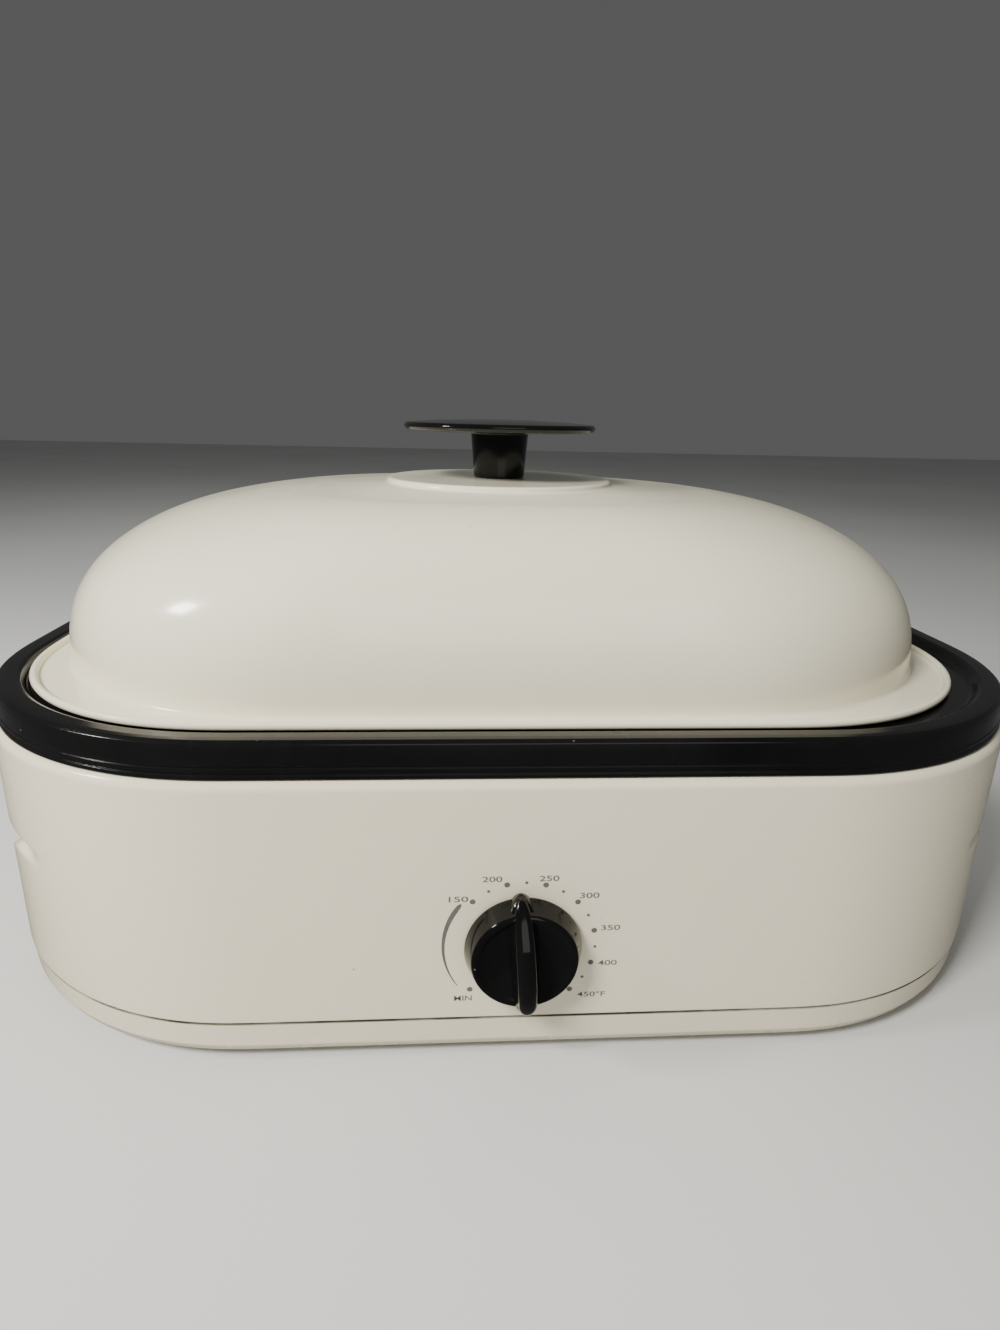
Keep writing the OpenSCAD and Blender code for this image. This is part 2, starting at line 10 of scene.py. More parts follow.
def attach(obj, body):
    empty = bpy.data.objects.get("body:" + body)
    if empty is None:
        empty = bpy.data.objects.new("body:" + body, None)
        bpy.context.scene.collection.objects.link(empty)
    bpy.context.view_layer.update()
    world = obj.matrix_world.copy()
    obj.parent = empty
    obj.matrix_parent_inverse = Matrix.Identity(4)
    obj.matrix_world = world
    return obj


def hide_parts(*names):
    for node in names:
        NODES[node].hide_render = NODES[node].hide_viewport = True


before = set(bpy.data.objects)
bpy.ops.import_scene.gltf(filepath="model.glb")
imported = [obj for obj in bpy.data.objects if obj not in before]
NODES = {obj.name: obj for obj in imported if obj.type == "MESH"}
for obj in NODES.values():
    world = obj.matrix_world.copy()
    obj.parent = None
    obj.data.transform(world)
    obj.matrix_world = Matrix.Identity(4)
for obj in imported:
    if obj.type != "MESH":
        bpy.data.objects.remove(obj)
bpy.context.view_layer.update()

MM = 0.001
BACK = 9.75  # the housing's middle lies this far behind the origin

# ---------------------------------------------------------------- sizes (as in the CAD)
HL, HD, RC = 280.0, 200.0, 145.0
FOOT, SEAM, RIM = 5.0, 23.6, 147.0
FRONT = HD + 2.5
FLANGE = RIM + 13.6
LT = 1.2
DOME_Z = FLANGE + LT
D_LEN, D_DEP, D_R, D_H, D_FULL = 249.0, 168.5, 143.5, 93.0, 2.7
PAD_R = 70.0
PAD_Z = DOME_Z + D_H + 3.1
LID_OFF = -5.0
STEM_H = 27.4
DISC_R = 59.0
DIAL_X, DIAL_Z = -2.5, 63.6
BAR_ANGLE = -4.0
GRIP_HALF, GRIP_Z0, GRIP_Z1, GRIP_O = 140.0, 62.0, 90.0, -16.0
PAN_TOP = FLANGE - 0.2
PAN_Z = PAN_TOP - 118.0 - 1.2


# ---------------------------------------------------------------- camera
def make_camera():
    f_px, yaw, pitch, roll = 785.52, 0.07187, 0.31273, -0.02347
    loc = (-0.0378, -0.50483 + BACK * MM, 0.29744)
    cyw, syw, cp, sp = math.cos(yaw), math.sin(yaw), math.cos(pitch), math.sin(pitch)
    f = Vector((syw * cp, cyw * cp, -sp))
    r = Vector((cyw, -syw, 0.0))
    d = f.cross(r)
    r2 = math.cos(roll) * r + math.sin(roll) * d
    d2 = -math.sin(roll) * r + math.cos(roll) * d
    cam = bpy.data.cameras.new("camera")
    cam.sensor_fit = "AUTO"
    cam.sensor_width = 36.0
    cam.lens = f_px / 1330.0 * 36.0
    cam.clip_start = 0.01
    cam.clip_end = 50.0
    ob = bpy.data.objects.new("camera", cam)
    bpy.context.scene.collection.objects.link(ob)
    m = Matrix((r2, -d2, -f)).transposed().to_4x4()
    m.translation = Vector(loc)
    ob.matrix_world = m
    bpy.context.scene.camera = ob


make_camera()


# ---------------------------------------------------------------- shape helpers
def outline(a, b, r, count, sigma=9.0):
    """Points and outward normals, evenly spaced by length, on a rounded rectangle of
    half size a, b whose corners blend softly into its sides."""
    r = min(r, a - 1e-3, b - 1e-3)
    cx, cy = a - r, b - r
    total = 4 * cx + 4 * cy + 2 * math.pi * r
    n = 4096
    ds = total / n
    s = (np.arange(n) + 0.5) * ds
    q = math.pi * r / 2
    edges = np.cumsum([cy, q, 2 * cx, q, 2 * cy, q, 2 * cx, q, cy])
    arc_seg = np.searchsorted(edges, s) % 2 == 1
    kap = np.where(arc_seg, 1.0 / r, 0.0)
    if sigma > 0:
        fr = np.fft.rfftfreq(n, d=ds)
        kap = np.fft.irfft(np.fft.rfft(kap) * np.exp(-2 * (math.pi * fr * sigma) ** 2), n)
    kap *= 2 * math.pi / (kap.sum() * ds)
    th = math.pi / 2 + np.concatenate([[0], np.cumsum(kap) * ds])
    mid = (th[:-1] + th[1:]) / 2
    x = np.concatenate([[0], np.cumsum(np.cos(mid)) * ds])
    y = np.concatenate([[0], np.cumsum(np.sin(mid)) * ds])
    x -= (x.max() + x.min()) / 2
    y -= (y.max() + y.min()) / 2
    x *= a / x.max()
    y *= b / y.max()
    t = (np.arange(count)) * total / count
    ss = np.arange(n + 1) * ds
    px, py, pt = np.interp(t, ss, x), np.interp(t, ss, y), np.interp(t, ss, th)
    return np.c_[px, py], np.c_[np.sin(pt), -np.cos(pt)]


def fillet(points, closed=True, seg=5, step=None):
    """points are (o, z, radius). Returns the outline with round corners, and long
    straight runs split near their ends so that shading stays flat on them."""
    n = len(points)
    out = []
    for i, p in enumerate(points):
        p0 = np.array(p[:2], float)
        rad = p[2] if len(p) > 2 else 0.0
        if rad <= 0 or (not closed and i in (0, n - 1)):
            out.append([p0])
            continue
        a = np.array(points[(i - 1) % n][:2], float) - p0
        b = np.array(points[(i + 1) % n][:2], float) - p0
        la, lb = np.linalg.norm(a), np.linalg.norm(b)
        a, b = a / la, b / lb
        ang = math.acos(max(-1, min(1, float(a @ b))))
        if ang > math.pi - 0.03:
            out.append([p0])
            continue
        d = min(rad / math.tan(ang / 2), 0.48 * la, 0.48 * lb)
        rad = d * math.tan(ang / 2)
        bis = (a + b) / np.linalg.norm(a + b)
        c = p0 + bis * rad / math.sin(ang / 2)
        v0, v1 = p0 + a * d - c, p0 + b * d - c
        a0, a1 = math.atan2(v0[1], v0[0]), math.atan2(v1[1], v1[0])
        da = (a1 - a0 + math.pi) % (2 * math.pi) - math.pi
        out.append([c + rad * np.array([math.cos(a0 + da * k / seg), math.sin(a0 + da * k / seg)]) for k in range(seg + 1)])
    flat = []
    m = len(out)
    for i in range(m):
        flat.extend(out[i])
        if not closed and i == m - 1:
            break
        p, q = out[i][-1], out[(i + 1) % m][0]
        l = np.linalg.norm(q - p)
        if l > 3.0:
            e = min(0.35, l * 0.1)
            cuts = [e / l, 1 - e / l]
            k = int(l // (step or 12.0))
            cuts += [j / (k + 1) for j in range(1, k + 1)]
            flat.extend([p + (q - p) * c for c in sorted(cuts) if e / l <= c <= 1 - e / l])
    return np.array(flat)


def build(name, verts, faces, smooth=True):
    me = bpy.data.meshes.new(name)
    me.from_pydata(((np.asarray(verts, float) + (0, BACK, 0)) * MM).tolist(), [], [list(map(int, f)) for f in faces])
    me.validate()
    me.update()
    bm = bmesh.new()
    bm.from_mesh(me)
    bmesh.ops.remove_doubles(bm, verts=bm.verts, dist=1e-7)
    bmesh.ops.recalc_face_normals(bm, faces=bm.faces)
    bm.to_mesh(me)
    bm.free()
    if smooth:
        me.shade_smooth()
    ob = bpy.data.objects.new(name, me)
    bpy.context.scene.collection.objects.link(ob)
    return ob


def loop_faces(k, m, closed_k=True, closed_m=True):
    f = []
    for i in range(k if closed_k else k - 1):
        i2 = (i + 1) % k
        for j in range(m if closed_m else m - 1):
            j2 = (j + 1) % m
            f.append((i * m + j, i * m + j2, i2 * m + j2, i2 * m + j))
    return f


def sweep(name, profile, count=360, smooth=True):
    """A closed (o, z) profile swept round the rim outline."""
    c, nr = outline(HL, HD, RC, count)
    rings = [np.c_[c + nr * o, np.full(count, z)] for o, z in profile]
    return build(name, np.vstack(rings), loop_faces(len(profile), count), smooth)


def rings_mesh(name, rings, cap_start=False, cap_end=False, closed=False, smooth=True):
    k, m = len(rings), len(rings[0])
    f = loop_faces(k, m, closed_k=closed)
    v = list(np.vstack(rings))
    for flag, base in ((cap_start, 0), (cap_end, (k - 1) * m)):
        if flag:
            v.append(np.mean(rings[0 if base == 0 else -1], axis=0))
            c = len(v) - 1
            f += [(base + j, base + (j + 1) % m, c) for j in range(m)]
    return build(name, np.array(v), f, smooth)


def lathe(name, profile, count=128, origin=(0, 0, 0), to_front=False, closed=True):
    """An (r, z) profile turned about Z; r = 0 points are closed to one vertex."""
    t = np.arange(count) * 2 * math.pi / count
    v, idx = [], []
    for r, z in profile:
        if r < 1e-6:
            v.append((0, 0, z))
            idx.append([len(v) - 1] * count)
        else:
            b = len(v)
            v += [(r * math.cos(a), r * math.sin(a), z) for a in t]
            idx.append(list(range(b, b + count)))
    f = []
    n = len(profile)
    for i in range(n if closed else n - 1):
        a, b = idx[i], idx[(i + 1) % n]
        for j in range(count):
            q = [a[j], a[(j + 1) % count], b[(j + 1) % count], b[j]]
            q = [x for k, x in enumerate(q) if x not in q[:k]]
            if len(q) >= 3:
                f.append(q)
    v = np.array(v, float)
    if to_front:
        v = np.c_[v[:, 0], -v[:, 2], v[:, 1]]
    v += np.array(origin, float)
    return build(name, v, f)


def weighted(ob):
    m = ob.modifiers.new("even_normals", "WEIGHTED_NORMAL")
    m.keep_sharp = True
    m.weight = 60
    return ob


# ---------------------------------------------------------------- materials
def nodes_of(name):
    mat = bpy.data.materials.new(name)
    mat.use_nodes = True
    nt = mat.node_tree
    b = nt.nodes["Principled BSDF"]
    return mat, nt, b


def N(nt, kind, **kw):
    n = nt.nodes.new(kind)
    for k, v in kw.items():
        if k in n.inputs:
            n.inputs[k].default_value = v
        else:
            setattr(n, k, v)
    return n


def coords(nt):
    return nt.nodes.new("ShaderNodeTexCoord").outputs["Object"]


def noise(nt, vec, scale, detail=3.0, rough=0.55, dist=0.0):
    n = N(nt, "ShaderNodeTexNoise", Scale=scale, Detail=detail, Roughness=rough, Distortion=dist)
    nt.links.new(vec, n.inputs["Vector"])
    return n.outputs["Fac"]


def ramp(nt, fac, stops):
    r = nt.nodes.new("ShaderNodeValToRGB")
    e = r.color_ramp.elements
    e[0].position, e[0].color = stops[0][0], (*stops[0][1], 1)
    e[1].position, e[1].color = stops[-1][0], (*stops[-1][1], 1)
    for p, c in stops[1:-1]:
        x = e.new(p)
        x.color = (*c, 1)
    nt.links.new(fac, r.inputs["Fac"])
    return r.outputs["Color"]


def rng(nt, fac, a, b, lo=0.0, hi=1.0):
    m = N(nt, "ShaderNodeMapRange")
    m.inputs["From Min"].default_value = lo
    m.inputs["From Max"].default_value = hi
    m.inputs["To Min"].default_value = a
    m.inputs["To Max"].default_value = b
    nt.links.new(fac, m.inputs["Value"])
    return m.outputs["Result"]


def mix(nt, fac, a, b, kind="MIX"):
    m = nt.nodes.new("ShaderNodeMix")
    m.data_type = "RGBA"
    m.blend_type = kind
    for sock, val in ((m.inputs["Factor"], fac), (m.inputs["A"], a), (m.inputs["B"], b)):
        if isinstance(val, (int, float)):
            sock.default_value = val
        elif isinstance(val, tuple):
            sock.default_value = (*val, 1)
        else:
            nt.links.new(val, sock)
    # the colour sockets of the Mix node share names with its other types
    return m.outputs["Result"]


def colmix(nt, fac, a, b, kind="MIX"):
    m = nt.nodes.new("ShaderNodeMix")
    m.data_type = "RGBA"
    m.blend_type = kind
    ins = [i for i in m.inputs if i.type == "RGBA"]
    fi = m.inputs[0]
    if isinstance(fac, (int, float)):
        fi.default_value = fac
    else:
        nt.links.new(fac, fi)
    for sock, val in zip(ins, (a, b)):
        if isinstance(val, tuple):
            sock.default_value = (*val, 1)
        else:
            nt.links.new(val, sock)
    return [o for o in m.outputs if o.type == "RGBA"][0]


def bump(nt, b, height, strength, distance):
    n = N(nt, "ShaderNodeBump", Strength=strength, Distance=distance)
    nt.links.new(height, n.inputs["Height"])
    nt.links.new(n.outputs["Normal"], b.inputs["Normal"])
    return n


def specks(nt, vec, scale, size, keep=0.06):
    """Sparse small dots: 1 inside a dot, 0 elsewhere."""
    v = N(nt, "ShaderNodeTexVoronoi", Scale=scale)
    nt.links.new(vec, v.inputs["Vector"])
    near = rng(nt, v.outputs["Distance"], 1.0, 0.0, size * 0.6, size)
    near.node.clamp = True
    sep = nt.nodes.new("ShaderNodeSeparateColor")
    nt.links.new(v.outputs["Color"], sep.inputs["Color"])
    pick = rng(nt, sep.outputs["Red"], 1.0, 0.0, keep, keep + 0.01)
    m = N(nt, "ShaderNodeMath", operation="MULTIPLY")
    nt.links.new(near, m.inputs[0])
    nt.links.new(pick, m.inputs[1])
    return m.outputs[0]


def scratches(nt, vec, scale, stretch, seed=0.0, width=0.02):
    mp = N(nt, "ShaderNodeMapping")
    mp.inputs["Scale"].default_value = stretch
    mp.inputs["Location"].default_value = (seed, seed * 1.7, seed * 0.3)
    nt.links.new(vec, mp.inputs["Vector"])
    n = noise(nt, mp.outputs["Vector"], scale, 2.0, 0.5, 0.6)
    d = N(nt, "ShaderNodeMath", operation="SUBTRACT")
    nt.links.new(n, d.inputs[0])
    d.inputs[1].default_value = 0.62
    a = N(nt, "ShaderNodeMath", operation="ABSOLUTE")
    nt.links.new(d.outputs[0], a.inputs[0])
    return rng(nt, a.outputs[0], 1.0, 0.0, 0.0, width)


def painted_shade_band(nt, vec, z, half, soft):
    """1 within half of height z, fading to 0 over soft, broken up a little along its run."""
    sep = nt.nodes.new("ShaderNodeSeparateXYZ")
    nt.links.new(vec, sep.inputs["Vector"])
    d = N(nt, "ShaderNodeMath", operation="SUBTRACT")
    nt.links.new(sep.outputs["Z"], d.inputs[0])
    d.inputs[1].default_value = z
    a = N(nt, "ShaderNodeMath", operation="ABSOLUTE")
    nt.links.new(d.outputs[0], a.inputs[0])
    on = rng(nt, a.outputs[0], 1.0, 0.0, half, half + soft)
    m = N(nt, "ShaderNodeMath", operation="MULTIPLY")
    nt.links.new(on, m.inputs[0])
    nt.links.new(rng(nt, noise(nt, vec, 30.0, 3.0), 0.55, 1.0, 0.35, 0.6), m.inputs[1])
    return m.outputs[0]


def enamel(name, light, shade, rough=0.16, peel=0.00004, seam=None):
    """Glossy white paint over steel: slow drift of tone, orange peel, a few specks, painted shade along the seam."""
    mat, nt, b = nodes_of(name)
    v = coords(nt)
    tone = ramp(nt, noise(nt, v, 3.2, 3.0), [(0.32, shade), (0.7, light)])
    dirt = specks(nt, v, 75.0, 0.05, 0.02)
    col = colmix(nt, dirt, tone, (0.38, 0.34, 0.28))
    fine = specks(nt, v, 240.0, 0.10, 0.012)
    col = colmix(nt, fine, col, (0.50, 0.46, 0.39))
    if seam is not None:
        # painted shade: a near-black band along the seam between the wall and the base, where the joint is in shade
        col = colmix(nt, painted_shade_band(nt, v, seam * MM, 0.0007, 0.0005), col, (0.075, 0.065, 0.05))
    nt.links.new(col, b.inputs["Base Color"])
    smear = noise(nt, v, 14.0, 4.0, 0.6, 0.8)
    nt.links.new(rng(nt, smear, rough * 0.75, rough * 1.7, 0.3, 0.75), b.inputs["Roughness"])
    b.inputs["IOR"].default_value = 1.5
    b.inputs["Coat Weight"].default_value = 0.25
    b.inputs["Coat Roughness"].default_value = 0.08
    wave = noise(nt, v, 46.0, 2.0, 0.5)
    grain = noise(nt, v, 420.0, 2.0, 0.5)
    s = N(nt, "ShaderNodeMath", operation="MULTIPLY_ADD")
    nt.links.new(grain, s.inputs[0])
    s.inputs[1].default_value = 0.12
    nt.links.new(wave, s.inputs[2])
    bump(nt, b, s.outputs[0], 0.35, peel * 6)
    return mat


def black_gloss(name, base=(0.0035, 0.0035, 0.0036), rough=0.12, dust=0.5, scuff=True):
    """Glossy black moulding: faint haze, fine dust and hairline scuffs."""
    mat, nt, b = nodes_of(name)
    v = coords(nt)
    haze = noise(nt, v, 9.0, 5.0, 0.62, 0.5)
    tone = ramp(nt, haze, [(0.35, tuple(c * 0.75 for c in base)), (0.75, tuple(c * 1.9 for c in base))])
    dots = specks(nt, v, 240.0, 0.13, 0.06 * dust)
    col = colmix(nt, dots, tone, (0.10, 0.10, 0.095))
    nt.links.new(col, b.inputs["Base Color"])
    r = rng(nt, haze, rough * 0.7, rough * 1.9, 0.3, 0.8)
    if scuff:
        sc = scratches(nt, v, 60.0, (1.0, 1.0, 0.15), 3.1, 0.008)
        add = N(nt, "ShaderNodeMath", operation="MULTIPLY_ADD")
        nt.links.new(sc, add.inputs[0])
        add.inputs[1].default_value = 0.12
        nt.links.new(r, add.inputs[2])
        r = add.outputs[0]
    nt.links.new(r, b.inputs["Roughness"])
    b.inputs["IOR"].default_value = 1.38
    b.inputs["Coat Weight"].default_value = 0.06
    b.inputs["Coat Roughness"].default_value = 0.05
    bump(nt, b, noise(nt, v, 130.0, 2.0, 0.5), 0.12, 0.0002)
    return mat


def sheet_steel(name, base=(0.55, 0.56, 0.57), rough=0.34, spangle=True, tint=None):
    mat, nt, b = nodes_of(name)
    v = coords(nt)
    if spangle:
        vo = N(nt, "ShaderNodeTexVoronoi", Scale=95.0)
        nt.links.new(v, vo.inputs["Vector"])
        sep = nt.nodes.new("ShaderNodeSeparateColor")
        nt.links.new(vo.outputs["Color"], sep.inputs["Color"])
        f = sep.outputs["Red"]
    else:
        f = noise(nt, v, 60.0, 4.0, 0.6)
    col = ramp(nt, f, [(0.0, tuple(c * 0.8 for c in base)), (1.0, tuple(min(1, c * 1.15) for c in base))])
    if tint:
        heat = noise(nt, v, 7.0, 3.0, 0.6)
        col = colmix(nt, rng(nt, heat, 0.0, 0.7, 0.45, 0.75), col, tint)
    nt.links.new(col, b.inputs["Base Color"])
    b.inputs["Metallic"].default_value = 1.0
    nt.links.new(rng(nt, f, rough * 0.8, rough * 1.3), b.inputs["Roughness"])
    bump(nt, b, noise(nt, v, 220.0, 3.0, 0.6), 0.2, 0.0002)
    return mat


def plain_dielectric(name, a, c, rough=0.5, scale=60.0, bump_h=0.0002, strength=0.25):
    mat, nt, b = nodes_of(name)
    v = coords(nt)
    f = noise(nt, v, scale, 4.0, 0.6)
    nt.links.new(ramp(nt, f, [(0.3, a), (0.75, c)]), b.inputs["Base Color"])
    nt.links.new(rng(nt, f, rough * 0.8, min(1, rough * 1.25)), b.inputs["Roughness"])
    bump(nt, b, noise(nt, v, scale * 4, 3.0, 0.6), strength, bump_h)
    return mat


def speckled_enamel(name):
    """Black vitreous enamel with fine white speckle."""
    mat, nt, b = nodes_of(name)
    v = coords(nt)
    s1 = specks(nt, v, 330.0, 0.30, 0.30)
    s2 = specks(nt, v, 150.0, 0.20, 0.18)
    col = colmix(nt, s1, (0.008, 0.008, 0.010), (0.42, 0.43, 0.45))
    col = colmix(nt, s2, col, (0.55, 0.56, 0.58))
    nt.links.new(col, b.inputs["Base Color"])
    nt.links.new(rng(nt, noise(nt, v, 20.0, 3.0), 0.08, 0.2, 0.3, 0.7), b.inputs["Roughness"])
    b.inputs["Coat Weight"].default_value = 0.6
    b.inputs["Coat Roughness"].default_value = 0.04
    bump(nt, b, noise(nt, v, 60.0, 2.0), 0.2, 0.0003)
    return mat


def fibre(name):
    mat, nt, b = nodes_of(name)
    v = coords(nt)
    f = noise(nt, v, 35.0, 6.0, 0.75, 1.2)
    nt.links.new(ramp(nt, f, [(0.3, (0.62, 0.50, 0.20)), (0.55, (0.85, 0.74, 0.40)), (0.8, (0.95, 0.88, 0.62))]), b.inputs["Base Color"])
    b.inputs["Roughness"].default_value = 0.95
    b.inputs["Sheen Weight"].default_value = 0.4
    bump(nt, b, noise(nt, v, 160.0, 6.0, 0.8, 2.0), 0.9, 0.002)
    return mat


def ink(name):
    mat, nt, b = nodes_of(name)
    v = coords(nt)
    f = noise(nt, v, 900.0, 3.0, 0.6)
    nt.links.new(ramp(nt, f, [(0.3, (0.105, 0.10, 0.09)), (0.75, (0.17, 0.16, 0.145))]), b.inputs["Base Color"])
    nt.links.new(rng(nt, f, 0.35, 0.6), b.inputs["Roughness"])
    return mat


M = {
    "lid": enamel("lid_enamel", (0.855, 0.815, 0.645), (0.815, 0.77, 0.60), 0.15),
    # painted shade: the body's white is a darker copy of the lid's white, standing in for the shade on its upright
    # walls
    "body": enamel("body_enamel_painted_shade", (0.82, 0.76, 0.59), (0.78, 0.715, 0.545), 0.2, seam=SEAM),
    "rim": black_gloss("rim_gloss_black", rough=0.13),
    "knob": black_gloss("knob_gloss_black", rough=0.09, dust=0.3),
    "handle": black_gloss("handle_gloss_black", (0.0035, 0.0035, 0.0035), rough=0.1, dust=0.5),
    "pan": speckled_enamel("pan_speckled_enamel"),
    "galv": sheet_steel("galvanised_sheet"),
    "well": sheet_steel("liner_sheet", (0.58, 0.58, 0.58), 0.3, True, (0.42, 0.36, 0.27)),
    "zinc": sheet_steel("zinc_plated", (0.62, 0.60, 0.52), 0.28, False),
    "chrome": sheet_steel("rack_plating", (0.75, 0.75, 0.76), 0.14, False),
    "rubber": plain_dielectric("foot_rubber", (0.018, 0.018, 0.018), (0.04, 0.04, 0.038), 0.7, 90.0, 0.0004, 0.4),
    "fibre": fibre("glass_fibre_wool"),
    "band": sheet_steel("element_band", (0.36, 0.33, 0.30), 0.45, False, (0.25, 0.17, 0.12)),
    "ceramic": plain_dielectric("white_ceramic", (0.80, 0.79, 0.75), (0.90, 0.89, 0.86), 0.3, 80.0),
    "copper": sheet_steel("copper_tube", (0.72, 0.42, 0.28), 0.3, False, (0.35, 0.22, 0.15)),
    "case": plain_dielectric("thermostat_case", (0.06, 0.055, 0.05), (0.10, 0.09, 0.08), 0.5, 120.0),
    "brass": sheet_steel("brass_plated", (0.72, 0.55, 0.25), 0.25, False),
    "sleeve": plain_dielectric("wire_sleeve", (0.70, 0.68, 0.62), (0.82, 0.80, 0.75), 0.6, 300.0, 0.0003, 0.5),
    "green": sheet_steel("earth_screw_green", (0.10, 0.36, 0.16), 0.3, False),
    "gland": plain_dielectric("gland_black", (0.015, 0.015, 0.015), (0.03, 0.03, 0.03), 0.4, 150.0),
    "ink": ink("dial_ink"),
}


def give(ob, mat):
    ob.data.materials.clear()
    ob.data.materials.append(mat)
    return ob


for n, m in {
    "base_brackets": "galv", "base_screws": "zinc", "collar_screws": "zinc", "heating_well": "well",
    "insulation_blanket": "fibre", "heating_element": "band", "element_clips": "zinc", "element_terminals": "ceramic",
    "heat_shield": "galv", "well_brackets": "galv", "sensor_bulb": "copper", "bulb_clips": "zinc",
    "thermal_fuse": "ceramic", "thermostat_body": "case", "thermostat_bracket": "galv", "thermostat_nut": "brass",
    "thermostat_shaft": "zinc", "cord_gland": "gland", "ground_screw": "green", "ground_tag": "brass",
    "lead_wires": "sleeve", "rack_grid": "chrome", "rack_loops": "chrome", "handle_washer": "zinc", "handle_screw": "zinc",
    "feet": "rubber", "body_sides": "body", "body_ends": "body", "base_pan": "body", "grip_cups": "body", "rim_collar": "rim",
    "control_knob": "knob", "roasting_pan": "pan", "lid_shell": "lid", "lid_handle": "handle",
}.items():
    ob = NODES[n]
    for s in ob.material_slots:
        s.material = M[m]
    if not ob.material_slots:
        ob.data.materials.append(M[m])


def place(ob, mat, body, slot, *replaced):
    give(ob, M[mat])
    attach(ob, body)
    if replaced:
        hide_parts(*replaced)
    return ob


# ---------------------------------------------------------------- body wall, with its grip recesses
def smoothstep(x, a, b):
    t = np.clip((x - a) / (b - a), 0, 1)
    return t * t * (3 - 2 * t)


def body_wall():
    count = 560
    c, nr = outline(HL, HD, RC, count)
    r_out = 4.5
    zs = [SEAM + 0.45, SEAM + 0.7, SEAM + 1.2, 30, 36, 42, 48, 54, 58, 60, 61.5, 63, 65, 67, 69, 71, 73, 75, 77, 79, 81, 83, 85,
          86.5, 87.4, 88.0, 88.5, 89.0, 89.4, 89.8, 90.2, 90.6, 91.1, 91.8, 92.6, 93.4, 94.2, 95, 96, 97, 98.5, 102, 107, 112, 118, 124, 130, 136, 140, RIM - r_out]
    outer = [(2.5 if z > SEAM + 1 else 2.5 - (SEAM + 1 - z) * 0.5, z) for z in zs]
    outer += [(-2 + r_out * math.cos(a), RIM - r_out + r_out * math.sin(a)) for a in np.radians(np.linspace(6, 90, 12))]
    top = [(-4, RIM), (-10, RIM), (-13.6, RIM), (-14, RIM - 0.4), (-13.8, RIM - 0.9), (-10, RIM - 1), (-3, RIM - 1)]
    inner = [(-2 + 3.5 * math.cos(a), RIM - r_out + 3.5 * math.sin(a)) for a in np.radians(np.linspace(84, 0, 8))]
    inner += [(1.5, z) for z in reversed(zs[2:-1])]
    inner += [(1.55, SEAM + 0.5)]
    prof = outer + top + inner
    rings = []
    x, y = c[:, 0], c[:, 1]
    for k, (o, z) in enumerate(prof):
        oo = np.full(count, float(o))
        if o > 0 and 50 < z < 100:
            ay = np.abs(y)
            lim = GRIP_HALF + 30
            side = smoothstep(np.abs(x), HL - 70, HL - 66) * (ay < lim)
            # towards its ends the recess grows shallow and narrows to a slot under its lip
            fade = 1 - smoothstep(ay, 106, lim)
            ends = smoothstep(ay, 96, 148)
            ceil = GRIP_Z1 + 0.6 + 4.0 * ends
            low = 60.0 + 26.0 * ends
            roof = 1 - smoothstep(z, ceil - 3.2 + 0.8 * ends, ceil + 1.6)
            rise = smoothstep(z, low, low + (ceil - low) * (0.72 - 0.3 * ends)) ** 0.9
            depth = 18.0 * roof * rise * side * fade
            oo = oo - depth
        rings.append(np.c_[c + nr * oo[:, None], np.full(count, z)])
    ob = build("body_wall", np.vstack(rings), loop_faces(len(prof), count))
    return weighted(ob)


place(body_wall(), "body", "housing", "enamel_white", "body_sides", "body_ends", "grip_cups")

# ---------------------------------------------------------------- base pan
base_prof = fillet([
    (2.0, SEAM - 0.4, 0.5), (1.0, FOOT + 5, 4.0), (-1.6, FOOT, 4.4), (-5.4, FOOT, 0), (-5.4, FOOT + 1.2, 0),
    (-1.9, FOOT + 1.2, 3.2), (0.9, SEAM - 2.4, 0.4), (0.2, SEAM - 1.6, 0.3), (0.2, SEAM + 6.6, 0.3),
    (1.3, SEAM + 6.6, 0.3), (1.3, SEAM - 0.45, 0)], seg=6)


def base_tray():
    ob = weighted(sweep("base_tray_wall", base_prof, 360))
    return ob


place(base_tray(), "body", "housing", "enamel_white", "base_pan")

# ---------------------------------------------------------------- black rim
rim_prof = fillet([
    (0.0, RIM + 0.2, 0.5), (0.0, RIM + 2.2, 0.4), (-0.65, RIM + 2.7, 0.25), (-0.6, RIM + 3.3, 0.25), (-0.3, RIM + 3.7, 0.3),
    (-0.4, RIM + 5.2, 0.3), (-0.85, RIM + 5.6, 0.2), (-0.8, RIM + 6.1, 0.2), (-0.5, RIM + 6.5, 0.3), (-0.9, RIM + 13.4, 3.0), (-1.5, RIM + 16.0, 1.5),
    (-3.2, RIM + 17.35, 1.5), (-6, RIM + 17.55, 2.0), (-11.2, RIM + 17.45, 1.2), (-12.9, RIM + 16.6, 1.2), (-15.1, RIM + 13.4, 0.8), (-16.7, RIM + 12.55, 1.0),
    (-26.3, RIM + 12.4, 0.5), (-26.8, RIM + 10, 0.5),
    (-37.0, RIM + 10, 0.6), (-37.2, RIM + 0.8, 0.3), (-35.2, RIM + 0.8, 0.3), (-35.2, RIM + 8, 0.5), (-24.6, RIM + 8, 0.5),
    (-24, RIM + 10.4, 0.5), (-14.6, RIM + 10.6, 0.8), (-11.2, RIM + 15.3, 0.8), (-4.4, RIM + 15.3, 0.8), (-3.5, RIM + 14.2, 0.8), (-3.0, RIM + 0.2, 0.3)], seg=5)
place(weighted(sweep("rim_ring", rim_prof, 420)), "rim", "housing", "rim_black", "rim_collar")

